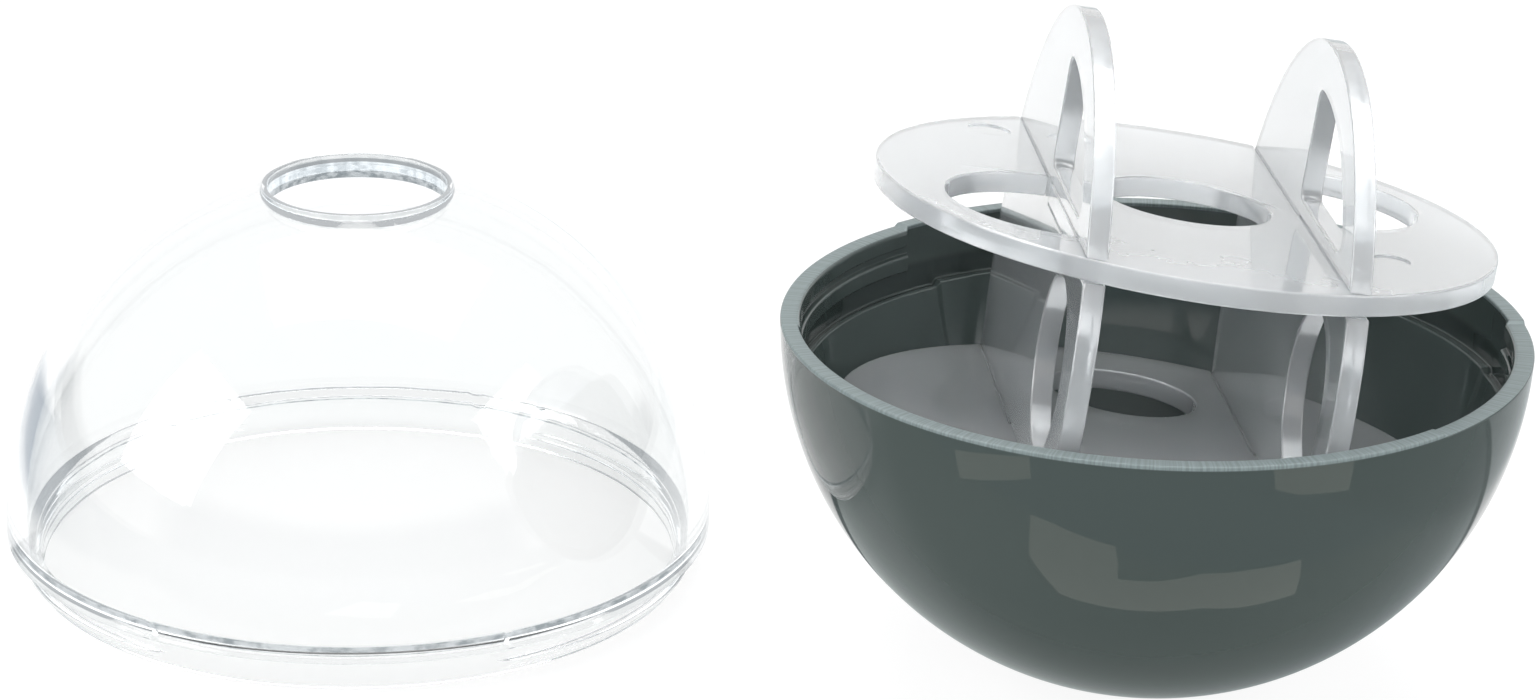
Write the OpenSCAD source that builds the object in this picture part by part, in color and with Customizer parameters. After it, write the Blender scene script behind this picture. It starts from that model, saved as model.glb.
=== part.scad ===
// Treat dispensing ball, shown opened: a clear dome with a treat hole stands beside a dark bowl,
// and a cage of four round plates, a small labyrinth, sits tipped in the bowl.
// Millimetres, +Z up. The origin is on the floor, midway between the two halves.

/* [Ball] */
// Outer diameter of the closed ball
ball_d = 70; // [60:1:84]
// Gap between the two halves where they stand side by side
stand_gap = 9.6; // [2:0.2:40]
// Radial play between parts that slide past each other in the lock
run_gap = 0.12; // [0.1:0.01:0.3]
// Bevel that breaks the sharp edges of mouldings
edge_break = 0.2; // [0.1:0.05:0.3]

/* [Dome] */
// Wall of the clear dome
dome_wall = 2; // [1.2:0.1:2.4]
// Straight band between the dome's round part and its shoulder
dome_band = 1; // [0.4:0.1:3]
// Radius of the treat hole
hole_r = 8.8; // [5:0.1:14]
// Width of the lip around the treat hole
lip_w = 0.55; // [0.5:0.05:1.5]
// Height of the lip above the dome beside it
lip_h = 0.5; // [0.4:0.1:2]
// Length of the spigot that enters the bowl
spigot_len = 3.6; // [3:0.1:4.8]
// Wall of the spigot
spigot_wall = 0.8; // [0.6:0.05:1.2]

/* [Bowl] */
// Wall of the bowl under its collar
bowl_wall = 2; // [1.9:0.1:2.6]
// Width of the bowl's rim
rim_w = 1.55; // [1.5:0.05:1.8]
// Depth of the collar that takes the spigot
collar_depth = 6.3; // [5:0.1:7]
// Depth of the shallow relief in the inner wall under the lock's rib groups
relief_depth = 0.3; // [0.2:0.05:0.6]
// Angle that each relief covers
relief_arc = 65; // [59:1:80]
// Depth by which the collar is lower over a relief
relief_drop = 0.5; // [0.2:0.1:0.8]
// Depth by which the rim's top is lower over a rib group
rim_step = 0.3; // [0.1:0.05:0.4]

/* [Twist lock] */
// Height by which the bowl's upper ribs stand in from the collar
upper_rib_proud = 0.4; // [0.3:0.05:0.45]
// Height by which the bowl's lower ribs stand in from the collar
rib_proud = 0.65; // [0.5:0.05:0.8]
// Bevel at the top of the upper ribs, which leads the spigot in
rib_lead = 0.5; // [0.2:0.05:0.6]
// Depth of the upper ribs' lower side under the rim
upper_rib_h = 2; // [1.2:0.1:2.2]
// Height of the groove between the ribs
groove_h = 0.8; // [0.6:0.1:1]
// Height of the lower rib
lower_rib_h = 1.7; // [1:0.1:1.8]
// Angle that the stop under each lower rib covers
stop_arc = 1.4; // [1:0.1:3]
// Angle from the end of a group to its stop
stop_angle = 5; // [2:1:20]
// Angle that each group of ribs covers
rib_arc = 52; // [30:1:58]
// Angle that each lug on the spigot covers
lug_arc = 120; // [60:1:122]
// Play above and below a lug in its groove
lug_play = 0.1; // [0.05:0.01:0.15]
// Heading of the bowl's rib groups
rib_heading = -5; // [-180:1:180]
// Heading of the dome's lugs
lug_heading = 16; // [-180:1:180]

/* [Labyrinth] */
// Play between the labyrinth and the spigot around it
cage_gap = 0.2; // [0.15:0.05:2]
// Thickness of the labyrinth's plates
plate_t = 2; // [1.4:0.1:2.6]
// Distance between the middles of two opposite plates
cell_pitch = 23.4; // [20:0.2:26]
// Play on each side of a plate in its slot
slot_play = 0.05; // [0.02:0.01:0.1]
// Radius of the upper disc's middle hole
middle_hole_r = 7.9; // [4:0.1:9]
// Width of the band left outside the upper disc's half-moon holes
moon_band_w = 3.4; // [2:0.1:6]
// Distance of each half-moon hole from the disc's middle line
moon_shift = 8; // [4:0.1:9]
// Radius of the lower disc's hole
lower_hole_r = 7.2; // [4:0.1:9]
// Width of the band left outside the lower disc's hole
lower_hole_band_w = 6.7; // [3:0.1:8]
// Radius of the round windows in the upright plates
round_window_r = 8; // [4:0.1:9]
// Width of the band left outside the round windows
round_window_band_w = 5.4; // [3:0.1:8]
// Width of the band left around the fins' windows
fin_band_w = 4.4; // [2:0.1:6]
// Height of the sill between a disc and a fin's window
sill_h = 1.5; // [1:0.1:3]
// Distance that a fin's window reaches past the plate's middle
window_reach = 1.2; // [0:0.1:4]
// Radius of the window's corners
window_corner_r = 1.2; // [0.5:0.1:2]
// Depth of the round marks that the mould's pins leave
pin_mark_depth = 0.12; // [0.05:0.01:0.2]
// Radius of those marks
pin_mark_r = 1.6; // [1:0.1:2.2]

/* [How it lies] */
// Angle by which the labyrinth leans in the bowl
lean = 8.8; // [0:0.1:20]
// Heading towards which it leans
lean_heading = 52; // [-180:1:180]
// Heading of the upright plates' outer faces
plate_heading = 19.4; // [-180:0.2:180]
// Gap left between the labyrinth and the bowl where it rests
rest_gap = 0.2; // [0.2:0.05:0.6]
// Angle from straight down to where the labyrinth rests on the bowl
rest_slope = 46; // [0:1:55]
// Heading of the place where it rests
rest_heading = -17; // [-180:1:180]

/* [Hidden] */
$fn = 120;
ball_r = ball_d / 2;
dome_in_r = ball_r - dome_wall;
bowl_in_r = ball_r - bowl_wall;
collar_r = ball_r - rim_w;
upper_rib_r = collar_r - upper_rib_proud;
rib_r = collar_r - rib_proud;
// Radius at which the ribs root in the wall
rib_root = collar_r + rim_w / 4;
groove_z = -upper_rib_h - groove_h;
lower_rib_z = groove_z - lower_rib_h;
spigot_r = rib_r - run_gap;
spigot_in_r = spigot_r - spigot_wall;
lug_r = collar_r - run_gap;
lug_h = groove_h - 2 * lug_play;
lip_r = hole_r + lip_w;
axis_x = (ball_d + stand_gap) / 2;
dome_z = spigot_len + dome_band;
// Height of the lip's top above the dome's centre
lip_top = sqrt(ball_r * ball_r - lip_r * lip_r) + lip_h;
// Radius of the sphere that the whole labyrinth fits
cage_r = spigot_in_r - cage_gap;
plate_mid = cell_pitch / 2;
plate_out = plate_mid + plate_t / 2;
plate_in = plate_mid - plate_t / 2;
plate_r = sqrt(cage_r * cage_r - plate_out * plate_out);
// Way that the labyrinth's middle lies off the bowl's middle, towards where it rests
cage_off = bowl_in_r - cage_r - rest_gap;
moon_r = plate_r - moon_band_w - norm([plate_out, moon_shift]);
lower_hole_shift = plate_r - lower_hole_band_w - lower_hole_r;
round_window_shift = plate_r - round_window_band_w - round_window_r;
window_r = plate_r - fin_band_w;
window_sill = plate_out + sill_h;
pin_mark_at = plate_r - 3 * pin_mark_r;
// Overrun of every cut past the face it opens
cut = 1;

// A ring of rectangular section around Z, over an arc centred on a heading
module arc_ring(r_in, r_out, z_low, z_high, arc, heading) {
    rotate([0, 0, heading - arc / 2])
        rotate_extrude(angle = arc)
            translate([r_in, z_low])
                square([r_out - r_in, z_high - z_low]);
}

// A rib of the bowl over the group's arc, with its inner edges bevelled
module rib(r_in, z_low, z_high, heading) {
    rotate([0, 0, heading - rib_arc / 2])
        rotate_extrude(angle = rib_arc)
            polygon([
                [r_in, z_low + edge_break], [r_in + edge_break, z_low], [rib_root, z_low],
                [rib_root, z_high], [r_in + edge_break, z_high], [r_in, z_high - edge_break],
            ]);
}

// What the bevel at the top of an upper rib takes off, over the group's arc
module lead_in(heading) {
    rotate([0, 0, heading - rib_arc / 2])
        rotate_extrude(angle = rib_arc)
            polygon([
                [upper_rib_r - cut, -rim_step - rib_lead - cut],
                [upper_rib_r + rib_lead + cut, cut - rim_step],
                [upper_rib_r - cut, cut - rim_step],
            ]);
}

// A flat disc whose two edges are bevelled, its middle plane at z = 0
module bevelled_disc(r, t) {
    rotate_extrude()
        polygon([
            [0, -t / 2], [r - edge_break, -t / 2], [r, edge_break - t / 2],
            [r, t / 2 - edge_break], [r - edge_break, t / 2], [0, t / 2],
        ]);
}

// The clear dome, standing on its spigot
module clear_dome() {
    color([0.93, 0.96, 0.98, 0.35])
    translate([-axis_x, 0, 0])
    difference() {
        union() {
            // Round part, cut flat at the ball's middle
            intersection() {
                translate([0, 0, dome_z]) sphere(r = ball_r);
                translate([0, 0, dome_z]) cylinder(r = ball_r + cut, h = ball_r);
            }
            // Straight band, with its lower edge bevelled
            translate([0, 0, spigot_len + edge_break])
                cylinder(r = ball_r, h = dome_band - edge_break);
            translate([0, 0, spigot_len])
                cylinder(r1 = ball_r - edge_break, r2 = ball_r, h = edge_break);
            // Lip around the treat hole, with its outer edge bevelled
            translate([0, 0, dome_z + lip_top - lip_h - dome_wall])
                cylinder(r = lip_r, h = dome_wall + lip_h - edge_break);
            translate([0, 0, dome_z + lip_top - edge_break])
                cylinder(r1 = lip_r, r2 = lip_r - edge_break, h = edge_break);
            // Spigot, bevelled to lead into the bowl
            translate([0, 0, edge_break])
                cylinder(r = spigot_r, h = spigot_len);
            cylinder(r1 = spigot_r - edge_break, r2 = spigot_r, h = edge_break);
            // Two long lugs that turn under the bowl's upper ribs
            for (turn = [0, 180])
                arc_ring(spigot_r - spigot_wall / 2, lug_r,
                    spigot_len + groove_z + lug_play,
                    spigot_len - upper_rib_h - lug_play, lug_arc, lug_heading + turn);
        }
        // Round hollow, a cone that narrows it through the band, and the spigot's straight bore
        intersection() {
            translate([0, 0, dome_z]) sphere(r = dome_in_r);
            translate([0, 0, dome_z]) cylinder(r = ball_r, h = ball_r);
        }
        translate([0, 0, spigot_len])
            cylinder(r1 = spigot_in_r, r2 = dome_in_r, h = dome_band);
        translate([0, 0, -cut])
            cylinder(r = spigot_in_r, h = spigot_len + 2 * cut);
        // Treat hole, with its mouth bevelled
        translate([0, 0, dome_z])
            cylinder(r = hole_r, h = ball_r + lip_h + cut);
        translate([0, 0, dome_z + lip_top - edge_break])
            cylinder(r1 = hole_r, r2 = hole_r + edge_break + cut, h = edge_break + cut);
    }
}

// The dark bowl, resting on its round bottom
module bowl() {
    color([0.27, 0.32, 0.31])
    translate([axis_x, 0, ball_r])
    difference() {
        union() {
            difference() {
                // Outer half sphere with its rim's edge bevelled
                intersection() {
                    sphere(r = ball_r);
                    union() {
                        translate([0, 0, -ball_r - cut])
                            cylinder(r = ball_r + cut, h = ball_r + cut - edge_break);
                        translate([0, 0, -edge_break])
                            cylinder(r1 = ball_r, r2 = ball_r - edge_break, h = edge_break);
                    }
                }
                sphere(r = bowl_in_r);
                // Collar that takes the dome's spigot, with a bevelled mouth
                translate([0, 0, -collar_depth])
                    cylinder(r = collar_r, h = collar_depth + cut);
                translate([0, 0, -edge_break])
                    cylinder(r1 = collar_r, r2 = collar_r + edge_break + cut,
                        h = edge_break + cut);
                // At each rib group the rim is a step lower, the collar deeper and the wall set back
                for (turn = [0, 180]) {
                    arc_ring(bowl_in_r / 2, ball_r + cut, -rim_step, cut,
                        rib_arc, rib_heading + turn);
                    arc_ring(bowl_in_r / 2, collar_r - edge_break, -collar_depth - relief_drop,
                        relief_drop - collar_depth, relief_arc, rib_heading + turn);
                    intersection() {
                        sphere(r = bowl_in_r + relief_depth);
                        arc_ring(bowl_in_r / 2, ball_r, -bowl_in_r / 2, 0,
                            relief_arc, rib_heading + turn);
                    }
                }
            }
            // Two ribs in each of two groups, which let the dome's lugs in between them, and a stop
            for (turn = [0, 180]) {
                rib(upper_rib_r, -upper_rib_h, -rim_step, rib_heading + turn);
                rib(rib_r, lower_rib_z, groove_z, rib_heading + turn);
                arc_ring(rib_r + 2 * edge_break, rib_root, -collar_depth,
                    lower_rib_z + edge_break,
                    stop_arc, rib_heading + turn + rib_arc / 2 - stop_angle);
            }
        }
        for (turn = [0, 180]) lead_in(rib_heading + turn);
    }
}

// Puts the labyrinth's pieces where it lies in the bowl
module in_bowl() {
    translate([axis_x, 0, ball_r])
    rotate([0, 0, rest_heading]) rotate([0, -rest_slope, 0])
    translate([0, 0, -cage_off])
    rotate([0, rest_slope, 0]) rotate([0, 0, -rest_heading])
        rotate([0, 0, lean_heading])
            rotate([0, lean, 0])
                rotate([0, 0, plate_heading - lean_heading])
                    children();
}

// Slots from the rear edge to the middle, which the upright plates fill
module disc_slots() {
    for (side = [-1, 1])
        translate([side * plate_mid - plate_t / 2 - slot_play, -slot_play, -plate_t])
            cube([plate_t + 2 * slot_play, cage_r, 2 * plate_t]);
}

// Shallow round marks of the mould's pins on a disc's top
module pin_marks() {
    for (turn = [0, 180])
        rotate([0, 0, turn])
            translate([-plate_mid / 2, pin_mark_at, plate_t / 2 - pin_mark_depth])
                cylinder(r = pin_mark_r, h = plate_t, $fn = 48);
}

// Upper disc: a middle hole and two half-moon holes set off to opposite sides
module upper_disc() {
    color([0.86, 0.88, 0.9, 0.8])
    in_bowl()
    translate([0, 0, plate_mid])
    difference() {
        bevelled_disc(plate_r, plate_t);
        translate([0, 0, -plate_t]) cylinder(r = middle_hole_r, h = 2 * plate_t);
        for (side = [-1, 1])
            intersection() {
                translate([side * plate_out, side * moon_shift, -plate_t])
                    cylinder(r = moon_r, h = 2 * plate_t);
                translate([side > 0 ? plate_out : -plate_r, -plate_r, -plate_t])
                    cube([plate_r - plate_out, 2 * plate_r, 2 * plate_t]);
            }
        disc_slots();
        pin_marks();
    }
}

// Lower disc: one hole, off to the rear of the middle lane
module lower_disc() {
    color([0.86, 0.88, 0.9, 0.8])
    in_bowl()
    translate([0, 0, -plate_mid])
    difference() {
        bevelled_disc(plate_r, plate_t);
        translate([0, lower_hole_shift, -plate_t])
            cylinder(r = lower_hole_r, h = 2 * plate_t);
        disc_slots();
    }
}

// Outline of a fin's window: an arc along the plate's edge, a flat sill and a straight rear side,
// drawn smaller by the corner radius so that rounding its corners brings it to size
function window_points(steps = 16) =
    let (r = window_r - window_corner_r,
         low = window_sill + window_corner_r,
         rear = window_reach - window_corner_r,
         from = asin(low / r),
         to = 90 - asin(rear / r))
    concat([[rear, low]], [[-r * cos(from), low]],
        [for (i = [1 : steps]) let (a = from + (180 - to - from) * i / steps) [-r * cos(a), r * sin(a)]]);

// A fin's window with round corners, through a plate that stands in the YZ plane
module fin_window() {
    rotate([90, 0, 90])
        linear_extrude(2 * plate_t, center = true)
            offset(r = window_corner_r, $fn = 32)
                polygon(window_points());
}

// Upright plate: a fin with a window above each disc, a round window between the discs,
// and slots from the front edge to the middle, which the discs fill
module upright_plate() {
    difference() {
        rotate([0, 90, 0]) bevelled_disc(plate_r, plate_t);
        translate([0, -round_window_shift, 0])
            rotate([0, 90, 0])
                cylinder(r = round_window_r, h = 2 * plate_t, center = true);
        fin_window();
        mirror([0, 0, 1]) fin_window();
        for (side = [-1, 1])
            translate([-plate_t, -cage_r, side * plate_mid - plate_t / 2 - slot_play])
                cube([2 * plate_t, cage_r, plate_t + 2 * slot_play]);
    }
}

module left_plate() {
    color([0.86, 0.88, 0.9, 0.8])
    in_bowl() translate([-plate_mid, 0, 0]) upright_plate();
}

module right_plate() {
    color([0.86, 0.88, 0.9, 0.8])
    in_bowl() translate([plate_mid, 0, 0]) upright_plate();
}

clear_dome();
bowl();
upper_disc();
lower_disc();
left_plate();
right_plate();
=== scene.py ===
import math

import bmesh
import bpy
from mathutils import Matrix, Vector


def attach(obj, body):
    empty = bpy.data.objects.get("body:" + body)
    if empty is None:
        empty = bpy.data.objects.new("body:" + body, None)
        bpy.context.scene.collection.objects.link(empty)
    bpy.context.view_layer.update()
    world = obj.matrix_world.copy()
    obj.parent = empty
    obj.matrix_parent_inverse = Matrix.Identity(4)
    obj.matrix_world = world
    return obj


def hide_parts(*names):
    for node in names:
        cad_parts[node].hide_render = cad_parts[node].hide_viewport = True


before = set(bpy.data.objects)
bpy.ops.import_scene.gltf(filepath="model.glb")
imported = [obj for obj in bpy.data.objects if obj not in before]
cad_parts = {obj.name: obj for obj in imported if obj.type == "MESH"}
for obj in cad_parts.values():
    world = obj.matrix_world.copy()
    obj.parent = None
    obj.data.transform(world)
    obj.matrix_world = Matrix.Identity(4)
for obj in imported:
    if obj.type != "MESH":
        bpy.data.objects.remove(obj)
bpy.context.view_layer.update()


# The bowl: the ball's lower half, injection moulded in dark grey-green ABS and left glossy.
# It rests on its round bottom. The collar in its mouth takes the dome's spigot, and two groups
# of ribs, moulded into the collar, hold the spigot's lugs once the dome is turned.
BALL_R = 0.035
AXIS_X = 0.0398
BOWL_AT = Vector((AXIS_X, 0, BALL_R))
BOWL_WALL = 0.002
RIM_BAND, RIM_STEP = 0.001, 0.0003
COLLAR_R, COLLAR_DEPTH = 0.03345, 0.0063
COLLAR_LEAD, RIB_LEAD = 0.0002, 0.0005
UPPER_RIB_PROUD, LOWER_RIB_PROUD = 0.0004, 0.00065
UPPER_RIB_FOOT, GROOVE_FLOOR, LOWER_RIB_FOOT = -0.002, -0.0028, -0.0045
# Ribs, reliefs and bars each stand twice, half a turn apart. An ARC is the width of one.
RIB_ARC, RIB_HEADING, RIB_RAMP = math.radians(52), math.radians(-5), 0.012
RELIEF, RELIEF_DROP, RELIEF_ARC = 0.0003, 0.0005, math.radians(65)
RELIEF_END = math.radians(-30)
BAR_PROUD, BAR_ARC, BAR_HEADING, BAR_RAMP = 0.00025, math.radians(1.4), math.radians(16), 0.006
# Angles left free on a sphere run for the rounding or the step at its end.
LEDGE_ROOM, END_ROOM = 0.03, 0.01
SAME_POINT = 1e-7
SHARP_ANGLE = math.radians(50)


def swell(angle, heading, width, ramp):
    """1 inside either of two opposite groups about a heading, 0 outside, with a short ramp."""
    off = abs((angle - heading + math.pi / 2) % math.pi - math.pi / 2)
    return max(0.0, min(1.0, (width / 2 - off) / ramp + 0.5))


def sphere_run(radius, low, high, steps):
    """Points on a half circle about the axis, from one angle above the equator to another."""
    angles = [low + (high - low) * i / steps for i in range(steps + 1)]
    return [(radius * math.cos(a), radius * math.sin(a)) for a in angles]


def filleted(corners, steps):
    """The run through (radius, height, rounding) corners, rounded but for its first and last."""
    out = [corners[0][:2]]
    for before, corner, after in zip(corners, corners[1:], corners[2:]):
        a, c, b = Vector(before[:2]), Vector(corner[:2]), Vector(after[:2])
        u, v = (a - c).normalized(), (b - c).normalized()
        half = math.acos(max(-1, min(1, u.dot(v)))) / 2
        most = 0.45 * min((a - c).length, (b - c).length)
        reach = min(corner[2] / math.tan(half), most)
        for i in range(steps + 1):
            t = i / steps
            point = (c + u * reach) * (1 - t) ** 2 + c * 2 * t * (1 - t) + (c + v * reach) * t * t
            out.append(tuple(point))
    return out + [corners[-1][:2]]


def bowl_outline(angle):
    """The bowl's section at one heading, from the pole outside over the rim to the pole inside."""
    in_rib = swell(angle, RIB_HEADING, RIB_ARC, RIB_RAMP)
    in_relief = swell(angle, RIB_HEADING, RELIEF_ARC, RIB_RAMP)
    in_bar = swell(angle, BAR_HEADING, BAR_ARC, BAR_RAMP)
    upper_r = COLLAR_R - UPPER_RIB_PROUD * in_rib
    lower_r = COLLAR_R - LOWER_RIB_PROUD * in_rib
    bar_r = COLLAR_R - BAR_PROUD * in_bar
    rim_z = -RIM_STEP * in_rib
    lead = COLLAR_LEAD + (RIB_LEAD - COLLAR_LEAD) * in_rib
    floor_z = -COLLAR_DEPTH - RELIEF_DROP * in_relief
    inner = BALL_R - BOWL_WALL + RELIEF * in_relief
    ledge_r = math.sqrt(inner ** 2 - floor_z ** 2)
    # The first and the last corner only guide the rounding, and are dropped.
    mouth = [
        (BALL_R, -RIM_BAND, 0),
        (BALL_R, rim_z, 0.00025),
        (upper_r, rim_z, lead),
        (upper_r, UPPER_RIB_FOOT, 0.0002),
        (COLLAR_R, UPPER_RIB_FOOT, 0.0001),
        (COLLAR_R, GROOVE_FLOOR, 0.0001),
        (lower_r, GROOVE_FLOOR, 0.0003),
        (lower_r, LOWER_RIB_FOOT, 0.0003),
        (bar_r, LOWER_RIB_FOOT, 0.0001),
        (bar_r, floor_z, 0.0002),
        (ledge_r, floor_z, 0.0002),
        (ledge_r - 0.0001, floor_z - 0.001, 0),
    ]
    outside = sphere_run(BALL_R, -math.pi / 2, math.asin(-RIM_BAND / BALL_R), steps=60)
    wall = sphere_run(inner, math.asin(floor_z / inner) - LEDGE_ROOM, RELIEF_END, steps=20)
    bottom = sphere_run(BALL_R - BOWL_WALL, RELIEF_END - END_ROOM, -math.pi / 2, steps=36)
    return outside + filleted(mouth, steps=4)[1:-1] + wall + bottom


def headings_round(groups):
    """Headings all the way round, closer together at the ends of each pair of opposite groups."""
    count = 240
    even = {2 * math.pi * i / count for i in range(count)}
    ends = [heading + turn + side * width / 2
            for heading, width in groups for turn in (0, math.pi) for side in (-1, 1)]
    nearby = (-0.008, -0.006, -0.003, 0, 0.003, 0.006, 0.008)
    return sorted(even | {(end + step) % (2 * math.pi) for end in ends for step in nearby})


def turned(name, outline, headings, at, closed):
    """A skin about an upright axis, through outline(heading), as many points at each heading."""
    rings = [outline(a) for a in headings]
    count = len(rings[0])
    shape = bmesh.new()
    columns = [[shape.verts.new((at.x + r * math.cos(a), at.y + r * math.sin(a), at.z + z))
                for r, z in ring] for a, ring in zip(headings, rings)]
    for i, column in enumerate(columns):
        following = columns[(i + 1) % len(columns)]
        for j in range(count if closed else count - 1):
            k = (j + 1) % count
            shape.faces.new((column[j], following[j], following[k], column[k]))
    bmesh.ops.remove_doubles(shape, verts=shape.verts, dist=SAME_POINT)
    bmesh.ops.recalc_face_normals(shape, faces=shape.faces)
    mesh = bpy.data.meshes.new(name)
    shape.to_mesh(mesh)
    shape.free()
    obj = bpy.data.objects.new(name, mesh)
    bpy.context.scene.collection.objects.link(obj)
    return obj


bowl_groups = [(RIB_HEADING, RIB_ARC), (RIB_HEADING, RELIEF_ARC), (BAR_HEADING, BAR_ARC)]
bowl = turned("bowl_shell", bowl_outline, headings_round(bowl_groups), BOWL_AT, closed=False)


def linear(hex_colour):
    """An sRGB hex colour as the linear RGBA that the shader sockets take."""
    parts = [int(hex_colour[i : i + 2], 16) / 255 for i in (1, 3, 5)]
    return [c / 12.92 if c <= 0.04045 else ((c + 0.055) / 1.055) ** 2.4 for c in parts] + [1.0]


def add(tree, kind, settings=None, links=None):
    """Adds a node, sets its properties and input values by name or number, and links its inputs."""
    node = tree.nodes.new(kind)
    for key, value in (settings or {}).items():
        if isinstance(key, int) or key in node.inputs:
            node.inputs[key].default_value = value
        else:
            setattr(node, key, value)
    for key, source in (links or {}).items():
        tree.links.new(source, node.inputs[key])
    return node


# A Mix node takes two colours only when told to, and its colour sockets go by number.
COLOURS = {"data_type": "RGBA"}
FACTOR, FIRST, SECOND, MIXED = 0, 6, 7, 2
SMOOTH = {"interpolation_type": "SMOOTHSTEP"}
RUBBED_FROM, RUBBED_FULL = BALL_R - 0.00045, BALL_R - 0.0003
RUB_MARK_MM = 0.3
# Painted light: where the bowl's inside starts to be painted paler, and where it is paler in full.
PAINTED_LIGHT_INSIDE_FROM, PAINTED_LIGHT_INSIDE_FULL = COLLAR_R + 0.0003, COLLAR_R + 0.0002


def on_rim(tree, place):
    """1 on the rim's top, which is rubbed matt, and 0 on the rest of the bowl."""
    height = add(tree, "ShaderNodeSeparateXYZ", None, {0: place}).outputs["Z"]
    return add(tree, "ShaderNodeMapRange",
               {**SMOOTH, "From Min": RUBBED_FROM, "From Max": RUBBED_FULL},
               {"Value": height}).outputs["Result"]


def bowl_colour(tree, place):
    """Dark plastic, a little paler inside as painted light, and grey with fine marks across on the
    rubbed rim.
    """
    arm = add(tree, "ShaderNodeVectorMath", {"operation": "SUBTRACT", 1: BOWL_AT}, {0: place})
    flat = add(tree, "ShaderNodeSeparateXYZ", None, {0: arm.outputs[0]})
    heading = add(tree, "ShaderNodeMath", {"operation": "ARCTAN2"},
                  {0: flat.outputs["Y"], 1: flat.outputs["X"]})
    along = add(tree, "ShaderNodeMath", {"operation": "MULTIPLY", 1: BALL_R * 1000 / RUB_MARK_MM},
                {0: heading.outputs[0]})
    marks = add(tree, "ShaderNodeTexNoise",
                {"noise_dimensions": "1D", "Scale": 1.0, "Detail": 3.0}, {"W": along.outputs[0]})
    marked = add(tree, "ShaderNodeMapRange", {**SMOOTH, "From Min": 0.35, "From Max": 0.65},
                 {"Value": marks.outputs["Fac"]})
    rubbed = add(tree, "ShaderNodeMix",
                 {**COLOURS, FIRST: linear("#5d6767"), SECOND: linear("#6f7a7a")},
                 {FACTOR: marked.outputs["Result"]})
    # Painted light: the inside of the bowl is painted a little paler than the outside.
    depth = add(tree, "ShaderNodeVectorMath", {"operation": "LENGTH"}, {0: arm.outputs[0]})
    inside = add(tree, "ShaderNodeMapRange",
                 {**SMOOTH, "From Min": PAINTED_LIGHT_INSIDE_FROM, "From Max": PAINTED_LIGHT_INSIDE_FULL},
                 {"Value": depth.outputs["Value"]})
    plain = add(tree, "ShaderNodeMix",
                {**COLOURS, FIRST: linear("#353d3b"), SECOND: linear("#424b49")},
                {FACTOR: inside.outputs["Result"]})
    return add(tree, "ShaderNodeMix", COLOURS,
               {FACTOR: on_rim(tree, place), FIRST: plain.outputs[MIXED],
                SECOND: rubbed.outputs[MIXED]}).outputs[MIXED]


def bowl_gloss(tree, place):
    """Polished, and matt on the rim's top."""
    return add(tree, "ShaderNodeMapRange", {"To Min": 0.035, "To Max": 0.45},
               {"Value": on_rim(tree, place)}).outputs["Result"]


def moulded(name, shader, ripple_mm, ripple_depth, gloss=None, links=None):
    """A plastic: one Principled shader, with the slight ripple that a mould leaves."""
    material = bpy.data.materials.new(name)
    material.use_nodes = True
    tree = material.node_tree
    tree.nodes.clear()
    place = add(tree, "ShaderNodeTexCoord").outputs["Object"]
    ripple = add(tree, "ShaderNodeTexNoise", {"Scale": 1000 / ripple_mm, "Detail": 2.0},
                 {"Vector": place}).outputs["Fac"]
    bump = add(tree, "ShaderNodeBump", {"Strength": 1.0, "Distance": ripple_depth},
               {"Height": ripple})
    wired = {key: source(tree, place) for key, source in (links or {}).items()}
    wired["Normal"] = bump.outputs["Normal"]
    if gloss:
        spread = add(tree, "ShaderNodeMapRange", {"To Min": gloss[0], "To Max": gloss[1]},
                     {"Value": ripple})
        wired["Roughness"] = spread.outputs["Result"]
    body = add(tree, "ShaderNodeBsdfPrincipled", shader, wired)
    add(tree, "ShaderNodeOutputMaterial", None, {"Surface": body.outputs["BSDF"]})
    return material


def finished(obj, material, node, body):
    """Gives a piece its material and even shading, its CAD node's place and its body."""
    obj.data.materials.clear()
    obj.data.materials.append(material)
    obj.data.shade_smooth()
    obj.data.set_sharp_from_angle(angle=SHARP_ANGLE)
    even = obj.modifiers.new("even_shading", "WEIGHTED_NORMAL")
    even.keep_sharp = True
    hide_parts(node)
    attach(obj, body)


# Gloss ABS, moulded in a polished mould: a dark body under a clear, slightly rippled gloss, which
# mirrors the pale studio at the bowl's outline. Only the rim is rubbed matt, by the dome.
abs_gloss = moulded("moulded_gloss_abs", {"IOR": 1.53, "Specular IOR Level": 0.5},
                    ripple_mm=9.0, ripple_depth=0.00002,
                    links={"Base Color": bowl_colour, "Roughness": bowl_gloss})
finished(bowl, abs_gloss, "bowl", "bowl")


# The labyrinth's two discs: round plates of milky natural polypropylene, moulded flat and glossy.
# They slot into the upright plates, half a lap each. The upper one has a middle hole and two
# half-moon holes set off to opposite sides, the lower one a single hole.
PLATE_T, PLATE_EDGE, PLATE_MID = 0.002, 0.00022, 0.0117
PLATE_OUT = PLATE_MID + PLATE_T / 2
# The closed ball has to hold the labyrinth: its plates fit a sphere within the spigot's bore.
LOCK_PLAY, SPIGOT_WALL, CAGE_PLAY = 0.00012, 0.0008, 0.0002
SPIGOT_R = COLLAR_R - LOWER_RIB_PROUD - LOCK_PLAY
SPIGOT_IN = SPIGOT_R - SPIGOT_WALL
PLATE_R = math.sqrt((SPIGOT_IN - CAGE_PLAY) ** 2 - PLATE_OUT ** 2)
SLOT_PLAY = 0.000015
SLOT_HALF = PLATE_T / 2 + SLOT_PLAY
SLOT_OUT, SLOT_IN = PLATE_MID + SLOT_HALF, PLATE_MID - SLOT_HALF
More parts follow.
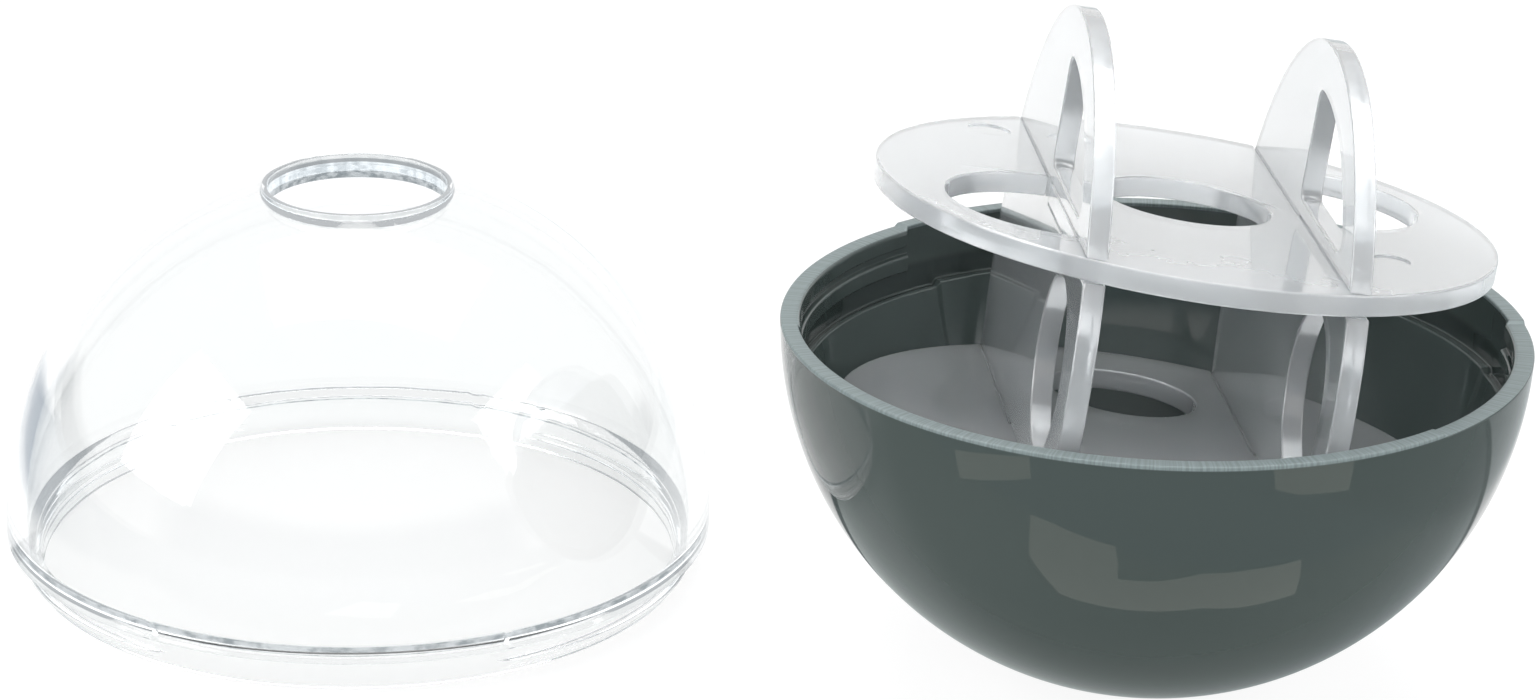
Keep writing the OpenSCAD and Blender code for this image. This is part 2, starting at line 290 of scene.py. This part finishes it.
# A BAND is what is left between a hole and the plate's edge.
LOWER_HOLE_R, LOWER_HOLE_BAND = 0.0072, 0.0067
LOWER_HOLE_AT = PLATE_R - LOWER_HOLE_BAND - LOWER_HOLE_R
MIDDLE_HOLE_R = 0.0079
MOON_SHIFT, MOON_BAND = 0.008, 0.0034
MOON_R = PLATE_R - MOON_BAND - math.hypot(PLATE_OUT, MOON_SHIFT)
PIN_MARKS = ((-0.0166, 0.0185, 0.0021), (0.0172, -0.0122, 0.0017))  # x, y and radius
PIN_DEPTH, PIN_LENGTH = 0.00015, 0.002
# How the labyrinth lies in the bowl: its middle, its heading, and how far and which way it leans.
CAGE_AT = (0.040570, -0.000236, 0.034222)
CAGE_HEADING, LEAN, LEAN_HEADING = math.radians(19.4), math.radians(8.8), math.radians(52)
CAGE = (Matrix.Translation(CAGE_AT) @ Matrix.Rotation(LEAN_HEADING, 4, "Z")
        @ Matrix.Rotation(LEAN, 4, "Y") @ Matrix.Rotation(CAGE_HEADING - LEAN_HEADING, 4, "Z"))


def arc(x, y, r, start, end, steps):
    """Points along an arc, angles in radians."""
    angles = [start + (end - start) * i / steps for i in range(steps + 1)]
    return [(x + r * math.cos(a), y + r * math.sin(a)) for a in angles]


def round_hole(x, y, r):
    """A round hole's outline, run clockwise."""
    return arc(x, y, r, 0, -2 * math.pi, steps=72)[:-1]


def cut_plate(name, outlines, placing):
    """A flat plate from closed outlines, holes among them, with rounded edges, then placed."""
    curve = bpy.data.curves.new(name, "CURVE")
    curve.dimensions = "2D"
    curve.fill_mode = "BOTH"
    curve.extrude = PLATE_T / 2 - PLATE_EDGE
    curve.bevel_depth = PLATE_EDGE
    curve.bevel_resolution = 2
    curve.offset = -PLATE_EDGE
    for outline in outlines:
        spline = curve.splines.new("POLY")
        spline.points.add(len(outline) - 1)
        for point, (x, y) in zip(spline.points, outline):
            point.co = (x, y, 0, 1)
        spline.use_cyclic_u = True
    draft = bpy.data.objects.new(name + "_draft", curve)
    bpy.context.scene.collection.objects.link(draft)
    bpy.context.view_layer.update()
    drawn = draft.evaluated_get(bpy.context.evaluated_depsgraph_get())
    mesh = bpy.data.meshes.new_from_object(drawn)
    mesh.name = name
    bpy.data.objects.remove(draft)
    shape = bmesh.new()
    shape.from_mesh(mesh)
    bmesh.ops.remove_doubles(shape, verts=shape.verts, dist=SAME_POINT)
    bmesh.ops.transform(shape, matrix=placing, verts=shape.verts)
    bmesh.ops.recalc_face_normals(shape, faces=shape.faces)
    shape.to_mesh(mesh)
    shape.free()
    obj = bpy.data.objects.new(name, mesh)
    bpy.context.scene.collection.objects.link(obj)
    return obj


# The disc's edge between the slots, round the front and round the back, as angles on its circle.
front_end, back_end = math.acos(SLOT_OUT / PLATE_R), math.acos(SLOT_IN / PLATE_R)
front_edge = arc(0, 0, PLATE_R, math.pi - front_end, 2 * math.pi + front_end, steps=150)
back_edge = arc(0, 0, PLATE_R, back_end, math.pi - back_end, steps=24)
lower_outline = (
    front_edge + [(SLOT_OUT, -SLOT_PLAY), (SLOT_IN, -SLOT_PLAY)]
    + back_edge + [(-SLOT_IN, -SLOT_PLAY), (-SLOT_OUT, -SLOT_PLAY)])
lower_disc = cut_plate("labyrinth_lower_disc",
                       [lower_outline, round_hole(0, LOWER_HOLE_AT, LOWER_HOLE_R)],
                       CAGE @ Matrix.Translation((0, 0, -PLATE_MID)))

# Each half-moon hole opens into a slot, so it is part of the upper disc's outline.
moon_tip = math.acos((SLOT_OUT - PLATE_OUT) / MOON_R)
right_moon = arc(PLATE_OUT, MOON_SHIFT, MOON_R, moon_tip, -math.pi / 2, steps=48)
left_moon = arc(-PLATE_OUT, -MOON_SHIFT, MOON_R, -math.pi / 2, -math.pi - moon_tip, steps=48)
upper_outline = (
    front_edge + right_moon + [(PLATE_OUT, -SLOT_PLAY), (SLOT_IN, -SLOT_PLAY)]
    + back_edge + [(-SLOT_IN, -SLOT_PLAY), (-PLATE_OUT, -SLOT_PLAY)] + left_moon)
upper_disc = cut_plate("labyrinth_upper_disc", [upper_outline, round_hole(0, 0, MIDDLE_HOLE_R)],
                       CAGE @ Matrix.Translation((0, 0, PLATE_MID)))

# The mould's pins leave shallow round marks in the upper disc's top.
shape = bmesh.new()
for x, y, radius in PIN_MARKS:
    above = Matrix.Translation((x, y, PLATE_OUT - PIN_DEPTH + PIN_LENGTH / 2))
    bmesh.ops.create_cone(shape, cap_ends=True, segments=48, radius1=radius, radius2=radius,
                          depth=PIN_LENGTH, matrix=CAGE @ above)
pins_mesh = bpy.data.meshes.new("pins")
shape.to_mesh(pins_mesh)
shape.free()
pins = bpy.data.objects.new("pins", pins_mesh)
bpy.context.scene.collection.objects.link(pins)
sink = upper_disc.modifiers.new("sink", "BOOLEAN")
sink.object, sink.operation, sink.solver = pins, "DIFFERENCE", "EXACT"
bpy.context.view_layer.update()
sunk = upper_disc.evaluated_get(bpy.context.evaluated_depsgraph_get())
upper_disc.data = bpy.data.meshes.new_from_object(sunk)
upper_disc.modifiers.remove(sink)
bpy.data.objects.remove(pins)

# Natural polypropylene, moulded without dye: milky, so that it glows where light passes through
# it and shows what lies behind it as a blur, under faces as smooth as the polished mould.
milky_pp = moulded("moulded_natural_polypropylene",
                   {"Base Color": linear("#f0f3f5"), "IOR": 1.49, "Transmission Weight": 0.79,
                    "Specular IOR Level": 0.7, "Subsurface Weight": 1.0,
                    "Subsurface Radius": (1.0, 1.0, 1.0), "Subsurface Scale": 0.002,
                    "Coat Weight": 1.0, "Coat Roughness": 0.05, "Coat IOR": 1.6},
                   ripple_mm=5.0, ripple_depth=0.000012, gloss=(0.16, 0.24))
finished(lower_disc, milky_pp, "lower_disc", "labyrinth")
finished(upper_disc, milky_pp, "upper_disc", "labyrinth")


# The labyrinth's two upright plates: the same moulding twice, in the same polypropylene. Each is
# slotted from its front edge to take the discs, with a round window between them and a fin window
# beyond each. Treats roll through the windows from lane to lane.
WINDOW_R, WINDOW_BAND = 0.008, 0.0054
WINDOW_AT = -(PLATE_R - WINDOW_BAND - WINDOW_R)
FIN_BAND, FIN_SILL, FIN_REACH, FIN_CORNER = 0.0044, 0.0015, 0.0012, 0.0012
STEPS_PER_RADIAN = 6


def swollen(points, radius):
    """A convex outline, run anticlockwise, pushed out by a radius so that its corners are round."""
    out = []
    for i, corner in enumerate(points):
        c, a, b = Vector(corner), Vector(points[i - 1]), Vector(points[(i + 1) % len(points)])
        into, away = c - a, b - c
        first = math.atan2(-into.x, into.y)
        turn = (math.atan2(-away.x, away.y) - first) % (2 * math.pi)
        if turn >= math.pi:
            turn -= 2 * math.pi
        count = max(1, round(STEPS_PER_RADIAN * abs(turn)))
        out += arc(c.x, c.y, radius, first, first + turn, count)
    return out


def fin_window(side):
    """The window in a fin: an arc along the edge, a flat sill and a straight rear side."""
    rear, low = FIN_REACH - FIN_CORNER, PLATE_OUT + FIN_SILL + FIN_CORNER
    r = PLATE_R - FIN_BAND - FIN_CORNER
    start, end = math.acos(rear / r), math.pi - math.asin(low / r)
    points = [(rear, low)] + arc(0, 0, r, start, end, steps=20)
    return [(y, side * z) for y, z in swollen(points, FIN_CORNER)]


# The outlines are drawn with x as depth and y as height, then stood up.
out_angle, in_angle = math.asin(SLOT_OUT / PLATE_R), math.asin(SLOT_IN / PLATE_R)
upright_outline = (
    arc(0, 0, PLATE_R, -math.pi + out_angle, math.pi - out_angle, steps=150)
    + [(0, SLOT_OUT), (0, SLOT_IN)]
    + arc(0, 0, PLATE_R, math.pi - in_angle, math.pi + in_angle, steps=40)
    + [(0, -SLOT_IN), (0, -SLOT_OUT)])
round_window = arc(WINDOW_AT, 0, WINDOW_R, 0, 2 * math.pi, steps=72)[:-1]
upright_cut = [upright_outline, round_window, fin_window(1), fin_window(-1)]
stand_up = Matrix(((0, 0, 1, 0), (1, 0, 0, 0), (0, 1, 0, 0), (0, 0, 0, 1)))
for node, side in (("left_plate", -1), ("right_plate", 1)):
    stood = CAGE @ Matrix.Translation((side * PLATE_MID, 0, 0)) @ stand_up
    plate = cut_plate("labyrinth_" + node, upright_cut, stood)
    finished(plate, milky_pp, node, "labyrinth")


# The dome: the ball's upper half, injection moulded in clear polystyrene and polished. It stands
# on its spigot. The treat hole in its top has a raised lip, and two long lugs on the spigot turn
# under the bowl's ribs.
DOME_AT = Vector((-AXIS_X, 0, 0))
DOME_WALL, SHOULDER_Z, DOME_BAND = 0.002, 0.0036, 0.001
EQUATOR_Z = SHOULDER_Z + DOME_BAND
HOLE_R, LIP_W, LIP_H = 0.0088, 0.00055, 0.0005
# On the closed ball the shoulder stands on the rim, and the lugs lie in the groove with play.
LUG_PLAY, LUG_R = 0.0001, COLLAR_R - LOCK_PLAY
LUG_LOW = SHOULDER_Z + GROOVE_FLOOR + LUG_PLAY
LUG_HIGH = SHOULDER_Z + UPPER_RIB_FOOT - LUG_PLAY
LUG_ARC, LUG_HEADING, LUG_RAMP = math.radians(120), math.radians(16), 0.05


def dome_outline(angle):
    """The dome's section at one heading, a closed run up outside, through the hole, down inside."""
    lug_r = SPIGOT_R + (LUG_R - SPIGOT_R) * swell(angle, LUG_HEADING, LUG_ARC, LUG_RAMP)
    foot = [
        (SPIGOT_IN, 0.0008, 0),
        (SPIGOT_IN, 0, 0.0001),
        (SPIGOT_R, 0, 0.0002),
        (SPIGOT_R, LUG_LOW, 0.0001),
        (lug_r, LUG_LOW, 0.0001),
        (lug_r, LUG_HIGH, 0.0001),
        (SPIGOT_R, LUG_HIGH, 0.0001),
        (SPIGOT_R, SHOULDER_Z, 0.00015),
        (BALL_R, SHOULDER_Z, 0.0002),
        (BALL_R, EQUATOR_Z - 0.0001, 0),
    ]
    lip_r = HOLE_R + LIP_W
    outside = sphere_run(BALL_R, 0, math.acos(lip_r / BALL_R) - END_ROOM, steps=72)
    lip_foot = math.sqrt(BALL_R ** 2 - lip_r ** 2)
    inner, under_r = BALL_R - DOME_WALL, HOLE_R + 0.0004
    lip = [
        (*outside[-1], 0),
        (lip_r, lip_foot, 0.0002),
        (lip_r, lip_foot + LIP_H, 0.0001),
        (HOLE_R, lip_foot + LIP_H, 0.0001),
        (HOLE_R, math.sqrt(inner ** 2 - HOLE_R ** 2), 0.0001),
        (under_r, math.sqrt(inner ** 2 - under_r ** 2), 0),
    ]
    hollow = sphere_run(inner, math.acos(under_r / inner), 0, steps=72)
    raised = [(r, EQUATOR_Z + z) for r, z in outside + filleted(lip, steps=3)[1:-1] + hollow]
    return filleted(foot, steps=3)[1:-1] + raised + [(SPIGOT_IN, SHOULDER_Z)]


dome = turned("dome_shell", dome_outline, headings_round([(LUG_HEADING, LUG_ARC)]), DOME_AT,
              closed=True)

# Where the cloudy shoulder and the hole's wall begin to show, and where they show in full.
CLOUDY_FROM, CLOUDY_FULL = 0.0001, 0.00002
HOLE_FROM, HOLE_FULL = HOLE_R + 0.0002, HOLE_R + 0.0001
CLOUD_MM = 1.5


def dome_tint(tree, place):
    """Clear, and greyer in noisy clouds on the shoulder and on the treat hole's wall."""
    height = add(tree, "ShaderNodeSeparateXYZ", None, {0: place}).outputs["Z"]
    over = add(tree, "ShaderNodeMapRange",
               {**SMOOTH, "From Min": SHOULDER_Z - CLOUDY_FROM,
                "From Max": SHOULDER_Z - CLOUDY_FULL},
               {"Value": height})
    under = add(tree, "ShaderNodeMapRange",
                {**SMOOTH, "From Min": SHOULDER_Z + CLOUDY_FROM,
                 "From Max": SHOULDER_Z + CLOUDY_FULL},
                {"Value": height})
    shoulder = add(tree, "ShaderNodeMath", {"operation": "MULTIPLY"},
                   {0: over.outputs["Result"], 1: under.outputs["Result"]})
    # The same clouds are darker on the shoulder than in the hole.
    cloud = add(tree, "ShaderNodeTexNoise", {"Scale": 1000 / CLOUD_MM, "Detail": 4.0},
                {"Vector": place}).outputs["Fac"]
    on_shoulder = add(tree, "ShaderNodeMapRange", {**SMOOTH, "From Min": 0.35, "From Max": 0.6},
                      {"Value": cloud})
    cloudy = add(tree, "ShaderNodeMix",
                 {**COLOURS, FIRST: linear("#5f696f"), SECOND: linear("#b9c1c6")},
                 {FACTOR: on_shoulder.outputs["Result"]})
    in_hole = add(tree, "ShaderNodeMapRange", {**SMOOTH, "From Min": 0.3, "From Max": 0.7},
                  {"Value": cloud})
    hole_wall = add(tree, "ShaderNodeMix",
                    {**COLOURS, FIRST: linear("#c9cdcf"), SECOND: linear("#e2e4e5")},
                    {FACTOR: in_hole.outputs["Result"]})
    arm = add(tree, "ShaderNodeVectorMath",
              {"operation": "MULTIPLY_ADD", 1: (1, 1, 0), 2: -DOME_AT}, {0: place})
    from_axis = add(tree, "ShaderNodeVectorMath", {"operation": "LENGTH"}, {0: arm.outputs[0]})
    at_hole = add(tree, "ShaderNodeMapRange",
                  {**SMOOTH, "From Min": HOLE_FROM, "From Max": HOLE_FULL},
                  {"Value": from_axis.outputs["Value"]})
    clear = add(tree, "ShaderNodeMix", {**COLOURS, FIRST: linear("#f8f9f9")},
                {FACTOR: at_hole.outputs["Result"], SECOND: hole_wall.outputs[MIXED]})
    return add(tree, "ShaderNodeMix", COLOURS,
               {FACTOR: shoulder.outputs[0], FIRST: clear.outputs[MIXED],
                SECOND: cloudy.outputs[MIXED]}).outputs[MIXED]


def painted_glow_in_wall(tree, place):
    """Painted light: a grey glow in the wall where light, mirrored three times inside it, would go
    on round it.
    """
    times = add(tree, "ShaderNodeLightPath").outputs["Glossy Depth"]
    return add(tree, "ShaderNodeMath", {"operation": "COMPARE", 1: 3.0, 2: 0.5},
               {0: times}).outputs[0]


# Clear polystyrene, moulded and polished: almost invisible face on, and seen by what its edges bend
# and mirror, with painted light: a grey glow inside its wall.
clear_ps = moulded("moulded_clear_polystyrene",
                   {"IOR": 1.5, "Specular IOR Level": 0.9, "Transmission Weight": 1.0,
                    "Emission Color": linear("#b9bdc0")},
                   ripple_mm=9.0, ripple_depth=0.00001, gloss=(0.0, 0.015),
                   links={"Base Color": dome_tint, "Emission Strength": painted_glow_in_wall})
finished(dome, clear_ps, "clear_dome", "dome")


# The studio: a white sweep that the object stands on, lit from above and from both sides by soft
# boxes, with the camera at the photograph's height and angle. Away from the object the room is
# dimmer. The sweep carries painted shade, seen in gloss and through the clear plastic, and
# hard-edged patches of light lie on the sweep in front of it.
VIEW_ANGLE = math.radians(16.13)
VIEW_TURN = Matrix.Rotation(VIEW_ANGLE, 4, "Z")
SWEEP_HALF, SWEEP_Z = 3, -0.0001
OVAL_ACROSS, OVAL_BACK, SHEET_SLANT = 0.11, 0.07, 0.6
GLOW_SHARE, PAPER_GLOW, PATCH_GLOW = 0.85, 1.06, 1.15
scene = bpy.context.scene
scene.view_settings.view_transform = "Standard"

sweep_mesh = bpy.data.meshes.new("sweep")
sweep_corners = [(x * SWEEP_HALF, y * SWEEP_HALF, SWEEP_Z)
                 for x, y in ((-1, -1), (1, -1), (1, 1), (-1, 1))]
sweep_mesh.from_pydata(sweep_corners, [], [(0, 1, 2, 3)])
sweep = bpy.data.objects.new("sweep", sweep_mesh)
scene.collection.objects.link(sweep)

# White paper: the camera sees it plain white, with the object's soft shadow. What gloss mirrors
# and plastic lets through carries painted shade instead: greys and a dark line, in zones measured
# in metres to the right of the object's middle and behind it. A row gives a zone's name, what it
# goes by, its start and where it is full.
white_paper = bpy.data.materials.new("white_paper")
white_paper.use_nodes = True
tree = white_paper.node_tree
tree.nodes.clear()
path = add(tree, "ShaderNodeLightPath")
place = add(tree, "ShaderNodeTexCoord").outputs["Object"]
faced = add(tree, "ShaderNodeVectorRotate", {"Axis": (0, 0, 1), "Angle": -VIEW_ANGLE},
            {"Vector": place}).outputs[0]
spot = add(tree, "ShaderNodeSeparateXYZ", None, {0: faced})
across, back = spot.outputs["X"], spot.outputs["Y"]
oval = add(tree, "ShaderNodeVectorMath",
           {"operation": "MULTIPLY", 1: (1 / OVAL_ACROSS, 1 / OVAL_BACK, 0)}, {0: faced})
out_of_oval = add(tree, "ShaderNodeVectorMath", {"operation": "LENGTH"}, {0: oval.outputs[0]})
slant = add(tree, "ShaderNodeMath", {"operation": "MULTIPLY_ADD", 1: SHEET_SLANT},
            {0: across, 2: back})
zones = {}
for name, value, start, full in (
        ("past_oval", out_of_oval.outputs["Value"], 0.9, 1.0),
        ("far_left", across, -0.09, -0.105),
        ("before_slant", slant.outputs[0], 0.035, 0.015),
        ("behind_front", back, -0.042, -0.03),
        ("right_half", across, 0.02, 0.06),
        ("beside_object", back, -0.035, -0.02),
        ("far_right", across, 0.085, 0.1),
        ("at_shade_line", back, 0.003, 0.004),
        ("past_shade_line", back, 0.007, 0.009)):
    zones[name] = add(tree, "ShaderNodeMapRange", {**SMOOTH, "From Min": start, "From Max": full},
                      {"Value": value}).outputs["Result"]
zones["painted_shade_far_left"] = add(tree, "ShaderNodeMath", {"operation": "MULTIPLY"},
                         {0: zones["far_left"], 1: zones["before_slant"]}).outputs[0]
zones["in_gloss"] = add(tree, "ShaderNodeMath", {"operation": "SUBTRACT", "use_clamp": True},
                        {0: path.outputs["Is Glossy Ray"],
                         1: path.outputs["Is Transmission Ray"]}).outputs[0]
zones["to_camera"] = path.outputs["Is Camera Ray"]
# A row gives a tone's name, the zone in which it changes, and its colour outside and inside it:
# a hex colour, or the name of an earlier tone. The greys are painted shade, and the edge tone is a
# dark line of painted shade on the sweep.
tones = {}
for name, zone, before, after in (
        ("in_front", "past_oval", "#929b98", "#828f95"),
        ("behind", "painted_shade_far_left", "#ffffff", "#8a949f"),
        ("through_plastic", "behind_front", "in_front", "behind"),
        ("beside", "right_half", "#bdc5c4", "#99a2a3"),
        ("ahead", "beside_object", "in_front", "beside"),
        ("ahead_shaded", "far_right", "ahead", "#70797b"),
        ("behind_shaded", "far_right", "behind", "#c4cbcd"),
        ("edge", "at_shade_line", "ahead_shaded", "#3f4a4d"),
        ("mirrored", "past_shade_line", "edge", "behind_shaded"),
        ("caught", "in_gloss", "through_plastic", "mirrored"),
        ("shown", "to_camera", "caught", "#ffffff")):
    settings, links = dict(COLOURS), {FACTOR: zones[zone]}
    for socket, tone in ((FIRST, before), (SECOND, after)):
        if tone.startswith("#"):
            settings[socket] = linear(tone)
        else:
            links[socket] = tones[tone]
    tones[name] = add(tree, "ShaderNodeMix", settings, links).outputs[MIXED]
seen = path.outputs["Is Camera Ray"]
for kind in ("Is Glossy Ray", "Is Transmission Ray"):
    seen = add(tree, "ShaderNodeMath", {"operation": "MAXIMUM"},
               {0: seen, 1: path.outputs[kind]}).outputs[0]
share = add(tree, "ShaderNodeMath", {"operation": "MULTIPLY", 1: GLOW_SHARE}, {0: seen})
sheet = add(tree, "ShaderNodeBsdfDiffuse", {"Color": linear("#f4f4f4")})
glow = add(tree, "ShaderNodeEmission", {"Strength": PAPER_GLOW}, {"Color": tones["shown"]})
paper = add(tree, "ShaderNodeMixShader", None,
            {0: share.outputs[0], 1: sheet.outputs[0], 2: glow.outputs[0]})
add(tree, "ShaderNodeOutputMaterial", None, {"Surface": paper.outputs[0]})
sweep_mesh.materials.append(white_paper)

# The room: white walls, dim low down behind the camera, with dark gaps left and right beyond the
# sweep and a little behind the object.
world = bpy.data.worlds.new("studio")
scene.world = world
world.use_nodes = True
tree = world.node_tree
tree.nodes.clear()
path = add(tree, "ShaderNodeLightPath")
place = add(tree, "ShaderNodeTexCoord").outputs["Generated"]
faced = add(tree, "ShaderNodeVectorRotate", {"Axis": (0, 0, 1), "Angle": -VIEW_ANGLE},
            {"Vector": place}).outputs[0]
way = add(tree, "ShaderNodeSeparateXYZ", None, {0: faced})
aside = add(tree, "ShaderNodeMath", {"operation": "ABSOLUTE"}, {0: way.outputs["X"]})
zones = {}
for name, value, start, full in (
        ("low", way.outputs["Z"], 0.35, 0.2),
        ("toward_camera", way.outputs["Y"], -0.35, -0.6),
        ("wide", aside.outputs[0], 0.72, 0.80),
        ("near_floor", way.outputs["Z"], 0.14, 0.10),
        ("past_object", way.outputs["Y"], 0.10, 0.18)):
    zones[name] = add(tree, "ShaderNodeMapRange", {**SMOOTH, "From Min": start, "From Max": full},
                      {"Value": value}).outputs["Result"]
dim = add(tree, "ShaderNodeMath", {"operation": "MULTIPLY"},
          {0: zones["low"], 1: zones["toward_camera"]})
aside_low = add(tree, "ShaderNodeMath", {"operation": "MULTIPLY"},
                {0: zones["wide"], 1: zones["near_floor"]})
gaps = add(tree, "ShaderNodeMath", {"operation": "MULTIPLY"},
           {0: aside_low.outputs[0], 1: zones["past_object"]})
walls = add(tree, "ShaderNodeMix",
            {**COLOURS, FIRST: linear("#ffffff"), SECOND: linear("#2d3842")},
            {FACTOR: gaps.outputs[0]})
for part, colour in ((dim.outputs[0], "#6f7c86"), (path.outputs["Is Diffuse Ray"], "#b9bfc2"),
                     (path.outputs["Is Camera Ray"], "#ffffff")):
    walls = add(tree, "ShaderNodeMix", {**COLOURS, SECOND: linear(colour)},
                {FACTOR: part, FIRST: walls.outputs[MIXED]})
room = add(tree, "ShaderNodeBackground", {"Strength": 1.0}, {"Color": walls.outputs[MIXED]})
add(tree, "ShaderNodeOutputWorld", None, {"Surface": room.outputs[0]})

# Patches of light on the sweep, seen in the gloss alone: outlines in millimetres to the right of
# the object's middle and behind it.
LIGHT_PATCHES = (
    ((3, -66), (10, -67), (27, -66), (29, -60), (30, -55), (38, -56), (46, -58), (57, -56),
     (67, -53), (64, -48), (61, -44), (52, -46), (45, -48), (33, -47), (22, -46), (12, -52)),
    ((-43, -67), (-27, -104), (-11, -85), (-23, -58)),
    ((94, -122), (79, -92), (84, -82), (99, -68), (123, -84)),
)
PATCH_Z = -0.00005
lit_paper = bpy.data.materials.new("lit_paper")
lit_paper.use_nodes = True
tree = lit_paper.node_tree
tree.nodes.clear()
glow = add(tree, "ShaderNodeEmission", {"Color": linear("#f7f8ef"), "Strength": PATCH_GLOW})
add(tree, "ShaderNodeOutputMaterial", None, {"Surface": glow.outputs[0]})
for number, outline in enumerate(LIGHT_PATCHES):
    name = "light_patch_%d" % number
    patch_mesh = bpy.data.meshes.new(name)
    corners = [VIEW_TURN @ Vector((x / 1000, y / 1000, PATCH_Z)) for x, y in outline]
    patch_mesh.from_pydata(corners, [], [tuple(range(len(corners)))])
    patch = bpy.data.objects.new(name, patch_mesh)
    scene.collection.objects.link(patch)
    patch_mesh.materials.append(lit_paper)
    patch.visible_camera = patch.visible_diffuse = False
    patch.visible_transmission = patch.visible_shadow = False

# Soft boxes: where each stands, right of the object, behind it and up, its size and its watts.
# The front one only lifts the plates' faces: the photograph's gloss shows no such box.
LAMPS_AIM = Vector((0, 0, 0.03))
for name, at, size, watts, mirrored in (
        ("top_box", (0.0, 0.25, 0.9), (0.9, 0.6), 8.0, True),
        ("left_box", (-0.8, -0.3, 0.5), (0.5, 0.6), 4.5, True),
        ("right_box", (0.8, -0.2, 0.45), (0.5, 0.6), 2.5, True),
        ("front_fill", (0.1, -0.9, 0.4), (0.6, 0.4), 4.5, False)):
    lamp = bpy.data.lights.new(name, "AREA")
    lamp.shape = "RECTANGLE"
    lamp.size, lamp.size_y = size
    lamp.energy = watts
    box = bpy.data.objects.new(name, lamp)
    scene.collection.objects.link(box)
    box.location = VIEW_TURN @ Vector(at)
    toward = VIEW_TURN @ LAMPS_AIM - box.location
    box.rotation_euler = toward.to_track_quat("-Z", "Y").to_euler()
    box.visible_glossy = box.visible_transmission = mirrored

# The camera, solved from the rims of the dome and the bowl in the photograph.
PHOTO_WIDTH, FOCAL_PIXELS, SENSOR_MM = 1538, 4500, 36.0
CAMERA_AT = (0.0023, -0.403, 0.1839)
LOOKS_DOWN, CAMERA_ROLL = math.radians(21.29), math.radians(1.5)
camera_data = bpy.data.cameras.new("camera")
camera_data.sensor_width = SENSOR_MM
camera_data.sensor_fit = "HORIZONTAL"
camera_data.lens = SENSOR_MM * FOCAL_PIXELS / PHOTO_WIDTH
camera_data.clip_start = 0.01
camera = bpy.data.objects.new("camera", camera_data)
scene.collection.objects.link(camera)
camera.matrix_world = (VIEW_TURN @ Matrix.Translation(CAMERA_AT)
                       @ Matrix.Rotation(math.pi / 2 - LOOKS_DOWN, 4, "X")
                       @ Matrix.Rotation(CAMERA_ROLL, 4, "Z"))
scene.camera = camera
